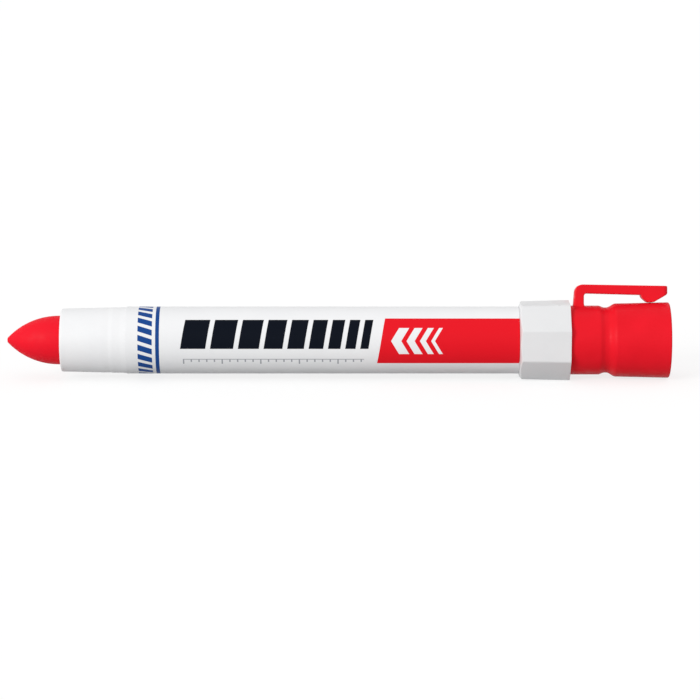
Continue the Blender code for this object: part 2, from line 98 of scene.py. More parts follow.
rib_width = 1.6 * MM
rib_front = barrel_mouth + 1.0 * MM
rib_rear = groove_front - 0.65 * MM
rib_inner = lip_radius + 0.06 * MM
rib_outer = bore_radius + 0.5 * MM
barrel_white = (0.872, 0.874, 0.882, 1.0)
barrel_shade = (0.842, 0.846, 0.858, 1.0)


def pick_edges(made, wanted):
    """Selects the edges of the mesh in edit mode whose two ends pass a test."""
    bpy.ops.mesh.select_mode(type="EDGE")
    bpy.ops.mesh.select_all(action="DESELECT")
    shape = bmesh.from_edit_mesh(made.data)
    for edge in shape.edges:
        if wanted(edge.verts[0].co, edge.verts[1].co):
            edge.select_set(True)
    bmesh.update_edit_mesh(made.data)


def on_ring(place, station, radius):
    """Whether a point lies on a turned ring."""
    off_axis = math.hypot(place.y, place.z - axis_height)
    return abs(place.x - station) < WELD and abs(off_axis - radius) < WELD


def smooth_flats(made):
    """Smooth shading that keeps the flats flat beside their rounded edges."""
    bpy.ops.object.select_all(action="DESELECT")
    made.select_set(True)
    bpy.context.view_layer.objects.active = made
    bpy.ops.object.shade_smooth_by_angle(angle=SHARP_ANGLE)
    weigh = made.modifiers.new("flats", "WEIGHTED_NORMAL")
    weigh.keep_sharp = True
    bpy.ops.object.modifier_apply(modifier=weigh.name)


def turned(name, outline, tube):
    """A turned piece from corners of (station, radius, rounding): a tube, or a shell with filled ends."""
    station, radius, _ = outline[0]
    bpy.ops.object.select_all(action="DESELECT")
    bpy.ops.mesh.primitive_circle_add(
        vertices=ROUND_SIDES,
        radius=radius,
        location=(station, 0.0, axis_height),
        rotation=(0.0, math.pi / 2, 0.0),
    )
    made = bpy.context.active_object
    made.name = name
    bpy.ops.object.transform_apply(location=True, rotation=True, scale=True)
    bpy.ops.object.mode_set(mode="EDIT")
    bpy.ops.mesh.select_mode(type="EDGE")
    bpy.ops.mesh.select_all(action="SELECT")
    rings = outline[1:] + outline[:1] if tube else outline[1:]
    for next_station, next_radius, _ in rings:
        bpy.ops.mesh.extrude_region_move(
            TRANSFORM_OT_translate={"value": (next_station - station, 0.0, 0.0)}
        )
        growth = next_radius / radius
        bpy.ops.transform.resize(
            value=(1.0, growth, growth),
            center_override=(next_station, 0.0, axis_height),
        )
        station = next_station
        radius = next_radius
    bpy.ops.mesh.select_all(action="SELECT")
    bpy.ops.mesh.remove_doubles(threshold=WELD)
    if not tube:
        bpy.ops.mesh.select_all(action="SELECT")
        bpy.ops.mesh.fill_holes(sides=0)
    bpy.ops.mesh.select_all(action="SELECT")
    bpy.ops.mesh.normals_make_consistent(inside=False)
    for station, radius, rounding in outline:
        if rounding:
            pick_edges(made, lambda a, b: on_ring(a, station, radius) and on_ring(b, station, radius))
            bpy.ops.mesh.bevel(offset=rounding, segments=BEVEL_STEPS, affect="EDGES")
    bpy.ops.object.mode_set(mode="OBJECT")
    return made


def shaped_by(made, tool, operation):
    """Joins, cuts or trims a piece with another, which is then gone."""
    step = made.modifiers.new(operation.title(), "BOOLEAN")
    step.operation = operation
    step.object = tool
    step.solver = "EXACT"
    bpy.context.view_layer.objects.active = made
    bpy.ops.object.modifier_apply(modifier=step.name)
    bpy.data.objects.remove(tool)


def finish_of(made, name, slot=None):
    """Gives a piece a new material and returns its nodes' tree, its shader and its object coordinates."""
    finish = bpy.data.materials.new(name)
    finish.use_nodes = True
    if slot:
        made.data.materials.clear()
        made.data.materials.append(finish)
    else:
        made.material_slots[0].material = finish
    tree = finish.node_tree
    shader = tree.nodes["Principled BSDF"]
    coordinates = tree.nodes.new("ShaderNodeTexCoord")
    return tree, shader, coordinates.outputs["Object"]


def grain(tree, place, scale, low=0.0, high=1.0, detail=3.0, stretch=(1.0, 1.0, 1.0)):
    """Noise over a piece, its usual 0.3 to 0.7 spread from low to high; stretch draws it into streaks."""
    mapping = tree.nodes.new("ShaderNodeMapping")
    mapping.inputs["Location"].default_value = (0.0, 0.0, -axis_height * stretch[2])
    mapping.inputs["Scale"].default_value = stretch
    tree.links.new(place, mapping.inputs["Vector"])
    noise = tree.nodes.new("ShaderNodeTexNoise")
    noise.inputs["Scale"].default_value = scale
    noise.inputs["Detail"].default_value = detail
    tree.links.new(mapping.outputs["Vector"], noise.inputs["Vector"])
    spread = tree.nodes.new("ShaderNodeMapRange")
    spread.inputs["From Min"].default_value = 0.3
    spread.inputs["From Max"].default_value = 0.7
    spread.inputs["To Min"].default_value = low
    spread.inputs["To Max"].default_value = high
    tree.links.new(noise.outputs["Fac"], spread.inputs["Value"])
    return spread.outputs["Result"]


def reckon(tree, operation, first, second=0.0):
    """One step of arithmetic on two values, each a number or another node's output."""
    made = tree.nodes.new("ShaderNodeMath")
    made.operation = operation
    for socket, value in zip(made.inputs, (first, second)):
        if isinstance(value, (int, float)):
            socket.default_value = value
        else:
            tree.links.new(value, socket)
    return made.outputs["Value"]


def tint(tree, share, under, over):
    """A colour that goes from one to another; each is a colour or another node's output."""
    made = tree.nodes.new("ShaderNodeMix")
    made.data_type = "RGBA"
    tree.links.new(share, made.inputs["Factor"])
    for socket, value in ((made.inputs["A"], under), (made.inputs["B"], over)):
        if isinstance(value, tuple):
            socket.default_value = value
        else:
            tree.links.new(value, socket)
    return made.outputs["Result"]


def relief(tree, shader, height, depth):
    """Bumps of a height from 0 to 1 times a depth in metres."""
    bump = tree.nodes.new("ShaderNodeBump")
    bump.inputs["Strength"].default_value = 1.0
    bump.inputs["Distance"].default_value = depth
    tree.links.new(height, bump.inputs["Height"])
    tree.links.new(bump.outputs["Normal"], shader.inputs["Normal"])


barrel = turned(
    "barrel_tube",
    [
        (barrel_mouth, lip_radius, rim_round),
        (barrel_mouth, mouth_radius, mouth_round),
        (first_line - line_half, taper_radius - first_rise, line_round),
        (first_line + line_half, taper_radius, line_round),
        (second_line - line_half, ring_radius - second_rise, line_round),
        (second_line + line_half, ring_radius, line_round),
        (ring_end, ring_radius, nose_round),
        (nose_end, barrel_radius, nose_round),
        (tenon_start, barrel_radius, shoulder_round),
        (tenon_start, tenon_radius, 0.0),
        (barrel_end, tenon_radius, rim_round),
        (barrel_end, bore_radius, rim_round),
        (groove_rear, bore_radius, 0.0),
        (groove_rear, groove_radius, 0.0),
        (groove_front, groove_radius, 0.0),
        (groove_front, bore_radius, 0.0),
        (bore_start, bore_radius, 0.0),
        (lip_end, lip_radius, lip_round),
    ],
    tube=True,
)
for count in range(rib_count):
    bpy.ops.object.select_all(action="DESELECT")
    bpy.ops.mesh.primitive_cube_add(
        size=1.0,
        location=((rib_front + rib_rear) / 2, 0.0, axis_height + (rib_inner + rib_outer) / 2),
        scale=(rib_rear - rib_front, rib_width, rib_outer - rib_inner),
    )
    rib = bpy.context.active_object
    bpy.ops.object.transform_apply(location=True, rotation=True, scale=True)
    bpy.ops.object.mode_set(mode="EDIT")
    bpy.ops.mesh.select_all(action="SELECT")
    bpy.ops.transform.rotate(
        value=math.tau * (count + 0.5) / rib_count,
        orient_axis="X",
        center_override=(0.0, 0.0, axis_height),
    )
    bpy.ops.object.mode_set(mode="OBJECT")
    shaped_by(barrel, rib, "UNION")
smooth_flats(barrel)

tree, shader, place = finish_of(barrel, "satin_white_polypropylene", "white_plastic")
mottle = grain(tree, place, scale=110.0)
tree.links.new(tint(tree, mottle, barrel_white, barrel_shade), shader.inputs["Base Color"])
skin = grain(tree, place, scale=420.0, low=0.34, high=0.46)
rubs = grain(tree, place, scale=900.0, low=-0.04, high=0.07, stretch=(3.0, 0.25, 0.25))
tree.links.new(reckon(tree, "ADD", skin, rubs), shader.inputs["Roughness"])
shader.inputs["Specular IOR Level"].default_value = 0.4
relief(tree, shader, grain(tree, place, scale=3200.0, detail=4.0), depth=0.004 * MM)
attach(barrel, "barrel")
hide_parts("barrel")

# Label
# A gloss plastic film, printed flat in four inks and wrapped round the barrel, with its end lapped over its
# start at the back. The print is a plain one: dashes, bars, a scale and a red panel in the paint's colour.

film_low, film_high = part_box("label")
film_start = film_low.x
film_end = film_high.x + 0.15 * MM
film_radius = (film_high.z - film_low.z) / 2
film_thickness = 0.1 * MM
film_inner = film_radius - film_thickness
film_edge = 0.03 * MM
lap_height = 0.05 * MM
lap_half_angle = math.radians(15.0)
wall_tilt = 0.1
print_roll = math.radians(10.5)
print_slant = math.tan(math.radians(9.4))
print_edge = 0.07 * MM
film_white = (0.858, 0.861, 0.87, 1.0)
film_shade = (0.838, 0.842, 0.854, 1.0)
ink_blue = (0.010, 0.062, 0.262, 1.0)
ink_black = (0.0015, 0.0035, 0.009, 1.0)
ink_grey = (0.36, 0.37, 0.40, 1.0)
ink_red = (0.775, 0.0085, 0.018, 1.0)
ink_roughness = 0.06
ink_height = 0.2

label = turned(
    "label_film",
    [
        (film_start, film_inner, 0.0),
        (film_start, film_radius, film_edge),
        (film_end, film_radius, film_edge),
        (film_end, film_inner, 0.0),
    ],
    tube=True,
)
bpy.ops.object.mode_set(mode="EDIT")
bpy.ops.mesh.select_mode(type="FACE")
bpy.ops.mesh.select_all(action="DESELECT")
shape = bmesh.from_edit_mesh(label.data)
for face in shape.faces:
    outside = face.calc_center_median().y > 0.0 and abs(face.normal.x) < wall_tilt
    if outside and face.normal.y > math.cos(lap_half_angle):
        face.select_set(True)
bmesh.update_edit_mesh(label.data)
bpy.ops.mesh.extrude_region_shrink_fatten(TRANSFORM_OT_shrink_fatten={"value": -lap_height})
bpy.ops.object.mode_set(mode="OBJECT")
smooth_flats(label)

tree, shader, place = finish_of(label, "printed_label_film", "label_film")


def ramp(tree, value, start, end):
    """0 before start and 1 after end; the other way round where end is the lower."""
    made = tree.nodes.new("ShaderNodeMapRange")
    made.inputs["From Min"].default_value = min(start, end)
    made.inputs["From Max"].default_value = max(start, end)
    made.inputs["To Min"].default_value = 0.0 if start < end else 1.0
    made.inputs["To Max"].default_value = 1.0 if start < end else 0.0
    tree.links.new(value, made.inputs["Value"])
    return made.outputs["Result"]


def within(tree, value, low, high, soft=print_edge):
    """1 between two values and 0 outside them, with the soft edge of a print."""
    rise = ramp(tree, value, low, low + soft)
    fall = ramp(tree, value, high, high - soft)
    return reckon(tree, "MULTIPLY", rise, fall)


def block(tree, along, across, left, right, low, high):
    """An inked block between two places along the film and two across it."""
    return reckon(tree, "MULTIPLY", within(tree, along, left, right), within(tree, across, low, high))


def merged(tree, shares):
    """Several inked shapes as one."""
    total = shares[0]
    for share in shares[1:]:
        total = reckon(tree, "MAXIMUM", total, share)
    return total


# The film's own coordinates: along the marker, and round it from the middle of the printed side
facing = tree.nodes.new("ShaderNodeMapping")
facing.vector_type = "TEXTURE"
facing.inputs["Location"].default_value = (0.0, 0.0, axis_height)
facing.inputs["Rotation"].default_value = (-print_roll, 0.0, 0.0)
tree.links.new(place, facing.inputs["Vector"])
split = tree.nodes.new("ShaderNodeSeparateXYZ")
tree.links.new(facing.outputs["Vector"], split.inputs["Vector"])
along = split.outputs["X"]
turn = reckon(tree, "ARCTAN2", split.outputs["Z"], reckon(tree, "MULTIPLY", split.outputs["Y"], -1.0))
across = reckon(tree, "MULTIPLY", turn, film_radius)
slanted = reckon(tree, "SUBTRACT", along, reckon(tree, "MULTIPLY", across, print_slant))

# Blue: a ring of slanted dashes and a thin ring beside it
dash_count = 22
dash_lean = 130.0
dash_from = 0.14
dash_to = 0.80
dash_soft = 0.03
dashes_left = -51.9 * MM
dashes_right = -48.1 * MM
ring_left = -47.3 * MM
ring_right = -46.25 * MM
dash_turns = reckon(tree, "MULTIPLY", turn, dash_count / math.tau)
dash_shift = reckon(tree, "MULTIPLY", along, dash_lean)
dash_place = reckon(tree, "FRACT", reckon(tree, "ADD", dash_turns, dash_shift))
dash_share = within(tree, dash_place, dash_from, dash_to, soft=dash_soft)
dashes = reckon(tree, "MULTIPLY", dash_share, within(tree, along, dashes_left, dashes_right))
blue = merged(tree, [dashes, within(tree, along, ring_left, ring_right)])

# Black: slanted bars that get narrower towards the knob
bar_count = 9
bar_widest = 6.6 * MM
bar_loss = 0.55 * MM
bar_gap = 1.15 * MM
bars_low = -2.4 * MM
bars_high = 5.6 * MM
bar_left = -40.5 * MM
black_bars = []
for count in range(bar_count):
    bar_right = bar_left + bar_widest - bar_loss * count
    black_bars.append(block(tree, slanted, across, bar_left, bar_right, bars_low, bars_high))
    bar_left = bar_right + bar_gap
black = merged(tree, black_bars)

# Grey: a fine scale, with a longer tick at every fifth
scale_left = -40.2 * MM
scale_right = 6.8 * MM
scale_top = -5.2 * MM
rule_width = 0.28 * MM
tick_pitch = 2.0 * MM
tick_width = 0.42 * MM
short_tick = 1.05 * MM
long_tick = 1.7 * MM
long_every = 5
from_left = reckon(tree, "SUBTRACT", along, scale_left)
scale_lines = [block(tree, along, across, scale_left, scale_right, scale_top - rule_width, scale_top)]
for pitch, length in ((tick_pitch, short_tick), (long_every * tick_pitch, long_tick)):
    share_of_pitch = reckon(tree, "FRACT", reckon(tree, "DIVIDE", from_left, pitch))
    past_tick = reckon(tree, "MULTIPLY", share_of_pitch, pitch)
    row = block(tree, along, across, scale_left, scale_right, scale_top - length, scale_top)
    scale_lines.append(reckon(tree, "MULTIPLY", row, within(tree, past_tick, 0.0, tick_width)))
grey = merged(tree, scale_lines)

# Red: a panel with a slanted end, where a row of chevrons that point to the paint is left white
panel_left = 11.16 * MM
panel_right = film_end + 1.0 * MM
panel_low = -6.69 * MM
panel_high = 6.06 * MM
chevron_count = 4
chevron_widest = 2.7 * MM
chevron_loss = 0.55 * MM
chevron_gap = 1.3 * MM
chevron_slope = 0.6
chevron_half = 3.5 * MM
chevron_middle = (panel_low + panel_high) / 2
chevrons_low = chevron_middle - chevron_half
chevrons_high = chevron_middle + chevron_half
chevron_left = 13.7 * MM
from_middle = reckon(tree, "ABSOLUTE", reckon(tree, "SUBTRACT", across, chevron_middle))
pointed = reckon(tree, "SUBTRACT", along, reckon(tree, "MULTIPLY", from_middle, chevron_slope))
chevrons = []
for count in range(chevron_count):
    chevron_right = chevron_left + chevron_widest - chevron_loss * count
    chevrons.append(block(tree, pointed, across, chevron_left, chevron_right, chevrons_low, chevrons_high))
    chevron_left = chevron_right + chevron_gap
panel = block(tree, slanted, across, panel_left, panel_right, panel_low, panel_high)
red = reckon(tree, "MULTIPLY", panel, reckon(tree, "SUBTRACT", 1.0, merged(tree, chevrons)))

printed = tint(tree, grain(tree, place, scale=140.0), film_white, film_shade)
for share, ink in ((red, ink_red), (blue, ink_blue), (grey, ink_grey), (black, ink_black)):
    printed = tint(tree, share, printed, ink)
tree.links.new(printed, shader.inputs["Base Color"])
any_ink = merged(tree, [red, blue, grey, black])
film_gloss = grain(tree, place, scale=520.0, low=0.27, high=0.38, stretch=(0.4, 1.0, 1.0))
ink_gloss = reckon(tree, "MULTIPLY", any_ink, ink_roughness)
tree.links.new(reckon(tree, "ADD", film_gloss, ink_gloss), shader.inputs["Roughness"])
shader.inputs["Specular IOR Level"].default_value = 0.07
ripple = grain(tree, place, scale=260.0, high=0.8, detail=2.0, stretch=(0.35, 1.0, 1.0))
ink_coat = reckon(tree, "MULTIPLY", any_ink, ink_height)
relief(tree, shader, reckon(tree, "ADD", ripple, ink_coat), depth=0.006 * MM)
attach(label, "barrel")
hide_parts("label")

# Carrier and lead screw
# The two pieces of the drive are moulded in unpigmented acetal. The carrier holds the paint's tail in its cup
# and rides on the screw, and the screw's square shank is pressed into the knob, where its end shows.

drive_cream = (0.74, 0.73, 0.68, 1.0)
drive_shade = (0.66, 0.65, 0.59, 1.0)

for node, finish_name, smoothest, roughest in (
    ("carrier", "carrier_acetal", 0.36, 0.50),
    ("lead_screw", "screw_acetal", 0.28, 0.42),
):
    tree, shader, place = finish_of(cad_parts[node], finish_name)
    mottle = grain(tree, place, scale=160.0)
    tree.links.new(tint(tree, mottle, drive_cream, drive_shade), shader.inputs["Base Color"])
    skin = grain(tree, place, scale=700.0, low=smoothest, high=roughest, stretch=(0.5, 1.0, 1.0))
    tree.links.new(skin, shader.inputs["Roughness"])
    shader.inputs["Specular IOR Level"].default_value = 0.45
    relief(tree, shader, grain(tree, place, scale=2600.0), depth=0.004 * MM)

# Paint stick
# A cast stick of solid paint, a dry waxy paste with red pigment. Its ogive point is moulded with it, and the
# thinner tail stands in the carrier's cup. The skin is matt, with faint cloudiness and drag marks.

paint_low, paint_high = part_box("paint_stick")
paint_tip = paint_low.x
paint_tail = paint_high.x
paint_radius = (paint_high.z - paint_low.z) / 2
paint_shoulder = 0.3 * MM
tail_radius = paint_radius - 1.05 * MM
tail_start = paint_tail - 5.0 * MM
tail_round = 0.4 * MM
ogive_length = 13.85 * MM
ogive_blunt = 0.46 * MM
ogive_steps = 22
tip_round = 0.26 * MM
paint_red = (0.85, 0.007, 0.021, 1.0)
paint_cloud = (0.80, 0.009, 0.024, 1.0)

ogive_curve = (paint_radius**2 + ogive_length**2) / (2 * paint_radius)
ogive_rings = []
for step in range(ogive_steps + 1):
    forward = (ogive_length - ogive_blunt - tip_round) * step / ogive_steps
    ogive_radius = math.sqrt(ogive_curve**2 - forward**2) + paint_radius - ogive_curve
    ogive_rings.append((paint_tip + ogive_length - ogive_blunt - forward, ogive_radius, 0.0))
# The blunt tip, as rings of (distance behind the tip, share of the ogive's last radius)
for behind, narrowing in ((0.08 * MM, 0.82), (0.01 * MM, 0.5), (0.002 * MM, 0.2)):
    ogive_rings.append((paint_tip + behind, ogive_radius * narrowing, 0.0))
paint = turned(
    "paint_stick_cast",
    [
        (paint_tail, tail_radius, tail_round),
        (tail_start, tail_radius, 0.0),
        (tail_start, paint_radius, paint_shoulder),
        *ogive_rings,
    ],
    tube=False,
)
smooth_flats(paint)

tree, shader, place = finish_of(paint, "waxy_red_paint", "solid_paint")
cloud = grain(tree, place, scale=240.0, detail=4.0)
tree.links.new(tint(tree, cloud, paint_red, paint_cloud), shader.inputs["Base Color"])
wax = grain(tree, place, scale=600.0, low=0.46, high=0.62)
tree.links.new(wax, shader.inputs["Roughness"])
shader.inputs["Specular IOR Level"].default_value = 0.1
drag = grain(tree, place, scale=700.0, high=0.7, stretch=(0.2, 1.0, 1.0))
pits = grain(tree, place, scale=1800.0, high=0.6, detail=5.0)
relief(tree, shader, reckon(tree, "ADD", drag, pits), depth=0.014 * MM)
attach(paint, "carrier")
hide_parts("paint_stick")

# Knob
# The twist knob is moulded in the barrel's white plastic: eight flats that widen towards the back, a turned
# chamfer in front, a beaded spigot that snaps into the barrel, and a socket behind that stores the cap.

knob_low, knob_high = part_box("knob")
knob_sides = 8
half_side = math.pi / knob_sides
knob_rear = knob_high.x
knob_front = knob_rear - 13.23 * MM
rear_flat = (knob_high.z - knob_low.z) / 2
front_flat = rear_flat - 0.31 * MM
skirt_bore = tenon_radius + 0.25 * MM
front_radius = skirt_bore + 0.32 * MM
chamfer_length = 0.66 * MM
chamfer_rise = 1.5 * MM
chamfer_slope = chamfer_rise / chamfer_length
chamfer_lead = 0.5 * MM
web_front = barrel_end + 0.3 * MM
web_rear = web_front + 2.0 * MM
socket_radius = 9.25 * MM
socket_round = 0.4 * MM
socket_flare = 0.3 * MM
spigot_front = knob_low.x
spigot_root = web_front + 0.5 * MM
spigot_radius = bore_radius - 0.3 * MM
spigot_bore = spigot_radius - 1.8 * MM
spigot_round = 0.2 * MM
bead_radius = spigot_radius + 0.5 * MM
bead_middle = spigot_front + 1.0 * MM
bead_half = 0.4 * MM
bead_round = 0.15 * MM
shank_hole = 4.2 * MM
corner_round = 0.3 * MM
knob_edge = 0.12 * MM
knob_edge_steps = 2
knob_edge_angle = math.radians(28.0)
close_corners = 0.02 * MM
reach = 3.0 * MM
rubbed_from = rear_flat + 0.25 * MM
rubbed_full = rear_flat + 0.7 * MM
rubbed_gloss = 0.12
knob_white = (0.765, 0.767, 0.774, 1.0)
knob_shade = (0.742, 0.745, 0.754, 1.0)

bpy.ops.object.select_all(action="DESELECT")
bpy.ops.mesh.primitive_cone_add(
    vertices=knob_sides,
    radius1=front_flat / math.cos(half_side),
    radius2=rear_flat / math.cos(half_side),
    depth=knob_rear - knob_front,
    location=((knob_front + knob_rear) / 2, 0.0, axis_height),
    rotation=(0.0, math.pi / 2, 0.0),
)
knob = bpy.context.active_object
knob.name = "knob_octagon"
bpy.ops.object.transform_apply(location=True, rotation=True, scale=True)
bpy.ops.object.mode_set(mode="EDIT")
bpy.ops.mesh.select_all(action="SELECT")
bpy.ops.transform.rotate(value=half_side, orient_axis="X", center_override=(0.0, 0.0, axis_height))
pick_edges(knob, lambda a, b: abs(a.x - b.x) > WELD)
bpy.ops.mesh.bevel(offset=corner_round, segments=BEVEL_STEPS, affect="EDGES")
bpy.ops.object.mode_set(mode="OBJECT")
wide = rear_flat + reach
envelope = turned(
    "chamfer_envelope",
    [
        (knob_front - chamfer_lead, front_radius - chamfer_lead * chamfer_slope, 0.0),
        (knob_front + (wide - front_radius) / chamfer_slope, wide, 0.0),
        (knob_rear + reach, wide, 0.0),
    ],
    tube=False,
)
shaped_by(knob, envelope, "INTERSECT")
skirt = turned(
    "skirt_bore",
    [(knob_front - reach, skirt_bore, 0.0), (web_front, skirt_bore, 0.0)],
    tube=False,
)
shaped_by(knob, skirt, "DIFFERENCE")
socket = turned(
    "cap_socket",
    [
        (web_rear, socket_radius, socket_round),
        (knob_rear - socket_flare, socket_radius, 0.0),
        (knob_rear + socket_flare, socket_radius + socket_flare, 0.0),
    ],
    tube=False,
)
shaped_by(knob, socket, "DIFFERENCE")
spigot = turned(
    "snap_spigot",
    [
        (spigot_root, spigot_bore, 0.0),
        (spigot_root, spigot_radius, 0.0),
        (bead_middle + bead_half, spigot_radius, 0.0),
        (bead_middle, bead_radius, bead_round),
        (bead_middle - bead_half, spigot_radius, 0.0),
        (spigot_front, spigot_radius, spigot_round),
        (spigot_front, spigot_bore, 0.0),
    ],
    tube=True,
)
shaped_by(knob, spigot, "UNION")
bpy.ops.object.select_all(action="DESELECT")
bpy.ops.mesh.primitive_cube_add(
    size=1.0,
    location=((web_front + web_rear) / 2, 0.0, axis_height),
    scale=(2 * (web_rear - web_front), shank_hole, shank_hole),
)
shaped_by(knob, bpy.context.active_object, "DIFFERENCE")
bpy.ops.object.mode_set(mode="EDIT")
bpy.ops.mesh.select_all(action="SELECT")
bpy.ops.mesh.remove_doubles(threshold=close_corners)
bpy.ops.object.mode_set(mode="OBJECT")
edges = knob.modifiers.new("edges", "BEVEL")
edges.width = knob_edge
edges.segments = knob_edge_steps
edges.limit_method = "ANGLE"
edges.angle_limit = knob_edge_angle
bpy.context.view_layer.objects.active = knob
bpy.ops.object.modifier_apply(modifier=edges.name)
smooth_flats(knob)

tree, shader, place = finish_of(knob, "satin_white_knob", "knob_plastic")
mottle = grain(tree, place, scale=120.0)
tree.links.new(tint(tree, mottle, knob_white, knob_shade), shader.inputs["Base Color"])
split = tree.nodes.new("ShaderNodeSeparateXYZ")
tree.links.new(place, split.inputs["Vector"])
height = reckon(tree, "SUBTRACT", split.outputs["Z"], axis_height)
height_squared = reckon(tree, "POWER", height, 2.0)
depth_squared = reckon(tree, "POWER", split.outputs["Y"], 2.0)
off_axis = reckon(tree, "SQRT", reckon(tree, "ADD", depth_squared, height_squared))
rubbed = reckon(tree, "MULTIPLY", ramp(tree, off_axis, rubbed_from, rubbed_full), rubbed_gloss)
skin = grain(tree, place, scale=480.0, low=0.36, high=0.47)
tree.links.new(reckon(tree, "SUBTRACT", skin, rubbed), shader.inputs["Roughness"])
shader.inputs["Specular IOR Level"].default_value = 0.4
relief(tree, shader, grain(tree, place, scale=3000.0, detail=4.0), depth=0.004 * MM)
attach(knob, "knob")
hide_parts("knob")

# Cap
# The cap is a thin-walled cup moulded in red polyethylene. The narrow closed end stands in the knob's socket,
# a rolled waist leads to the wide open end, and an inner shoulder seals on the barrel's nose.

cap_low, cap_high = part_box("cap")
cap_end = cap_low.x
cap_end_round = 0.6 * MM
cap_rim = cap_high.x
cap_rim_round = 0.4 * MM
rim_radius = (cap_high.z - cap_low.z) / 2
shoulder_radius = rim_radius - 0.31 * MM
neck_radius = 9.0 * MM
waist_radius = neck_radius - 0.49 * MM
skirt_start = cap_rim - 13.9 * MM
waist_rear = skirt_start - 2.5 * MM
waist_front = waist_rear - 0.45 * MM
waist_start = waist_front - 1.75 * MM
waist_steps = 10
tip_floor = cap_end + 1.3 * MM
tip_bore = neck_radius - 1.55 * MM
tip_bore_round = 0.5 * MM
inner_shoulder = skirt_start - 0.31 * MM
seal_length = 0.6 * MM
seal_round = 0.15 * MM
cap_bore = rim_radius - 1.24 * MM
cap_bore_draft = 0.12 * MM
cap_bore_round = 0.35 * MM
cap_red = (0.83, 0.0096, 0.022, 1.0)
cap_shade = (0.77, 0.0086, 0.019, 1.0)


def eased(start, end, first, last):
    """Rings of a rolled curve from one radius to another, ends included."""
    rings = []
    for step in range(waist_steps + 1):
        share = step / waist_steps
        roll = (1 - math.cos(math.pi * share)) / 2
        rings.append((start + (end - start) * share, first + (last - first) * roll, 0.0))
    return rings


cap = turned(
    "cap_shell",
    [
        (tip_floor, tip_bore, tip_bore_round),
        (inner_shoulder, tip_bore, seal_round),
        (inner_shoulder + seal_length, cap_bore - cap_bore_draft, seal_round),
        (cap_rim, cap_bore, cap_bore_round),
        (cap_rim, rim_radius, cap_rim_round),
        *eased(skirt_start, waist_rear, shoulder_radius, waist_radius),
        *eased(waist_front, waist_start, waist_radius, neck_radius),
        (cap_end, neck_radius, cap_end_round),
    ],
    tube=False,
)
smooth_flats(cap)


def red_polyethylene(made, name, slot):
    """Moulded red: a cloudy depth of colour, a satin skin with rubbed streaks and a very fine pitting."""
    tree, shader, place = finish_of(made, name, slot)
    cloud = grain(tree, place, scale=130.0)
    tree.links.new(tint(tree, cloud, cap_red, cap_shade), shader.inputs["Base Color"])
    skin = grain(tree, place, scale=420.0, low=0.36, high=0.46)
    rubs = grain(tree, place, scale=800.0, low=-0.05, high=0.08, stretch=(0.25, 1.6, 1.6))
    tree.links.new(reckon(tree, "ADD", skin, rubs), shader.inputs["Roughness"])
    shader.inputs["Specular IOR Level"].default_value = 0.08
    relief(tree, shader, grain(tree, place, scale=2800.0, detail=4.0), depth=0.004 * MM)


red_polyethylene(cap, "red_polyethylene_cap", "red_plastic")
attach(cap, "cap")
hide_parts("cap")

# Clip
# The pocket clip is moulded in one with the cap: a leg that grows out of the neck, a flat springy bar, and a
# bump near its end that presses on the cap.

clip_low, clip_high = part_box("clip")
clip_back = clip_low.x
clip_end = clip_high.x
clip_roll = math.radians(10.5)
clip_width = 5.0 * MM
leg_front = clip_back + 2.6 * MM
leg_lean = 0.4 * MM
foot_sink = 0.6 * MM
foot_flare = 0.35 * MM
foot_round = 0.3 * MM
bar_under = neck_radius + 3.15 * MM
bar_top = bar_under + 2.35 * MM
bar_fall = 0.4 * MM
outer_bend = 1.95 * MM
inner_bend = 0.75 * MM
bump_left = clip_back + 17.5 * MM
bump_low_left = bump_left + 1.55 * MM
bump_low_right = bump_low_left + 1.7 * MM
bump_share = (bump_low_right - skirt_start) / (cap_rim - skirt_start)
bump_low = shoulder_radius + (rim_radius - shoulder_radius) * bump_share + 0.04 * MM
bump_shoulder = 0.55 * MM
bump_root_round = 0.1 * MM
bump_left_round = 0.5 * MM
bump_round = 0.4 * MM
end_round = 1.1 * MM
end_lift = 0.2 * MM
clip_edge = 0.35 * MM
clip_edge_steps = 3
bend_steps = BEVEL_STEPS + 2
bend_step_length = 0.15 * MM

# The side of the clip, as corners of (station, distance from the axis, rounding)
clip_side = [
    (clip_back - foot_flare, neck_radius - foot_sink, 0.0),
    (clip_back, neck_radius + foot_flare, foot_round),
    (clip_back + leg_lean, bar_top, outer_bend),
    (clip_end, bar_top - bar_fall, 0.0),
    (clip_end, bar_under - bar_fall + end_lift, 0.0),
    (bump_low_right, bump_low, bump_round),
    (bump_low_left, bump_low, bump_left_round),
    (bump_left, bar_under - bar_fall - bump_shoulder, bump_round),
    (bump_left, bar_under - bar_fall, bump_root_round),
    (leg_front, bar_under, inner_bend),
    (leg_front, neck_radius + foot_flare, foot_round),
    (leg_front + foot_flare, neck_radius - foot_sink, 0.0),
]
bpy.ops.object.select_all(action="DESELECT")
station, distance, _ = clip_side[0]
bpy.ops.mesh.primitive_plane_add(size=clip_width, location=(station, -clip_width / 2, axis_height + distance))
clip = bpy.context.active_object
clip.name = "pocket_clip"
bpy.ops.object.transform_apply(location=True, rotation=True, scale=True)
bpy.ops.object.mode_set(mode="EDIT")
bpy.ops.mesh.select_mode(type="VERT")
bpy.ops.mesh.select_all(action="SELECT")
bpy.ops.mesh.merge(type="CENTER")
for next_station, next_distance, _ in clip_side[1:] + clip_side[:1]:
    step = (next_station - station, 0.0, next_distance - distance)
    bpy.ops.mesh.extrude_region_move(TRANSFORM_OT_translate={"value": step})
    station = next_station
    distance = next_distance
bpy.ops.mesh.select_all(action="SELECT")
bpy.ops.mesh.remove_doubles(threshold=WELD)
bpy.ops.mesh.select_all(action="SELECT")
bpy.ops.mesh.edge_face_add()
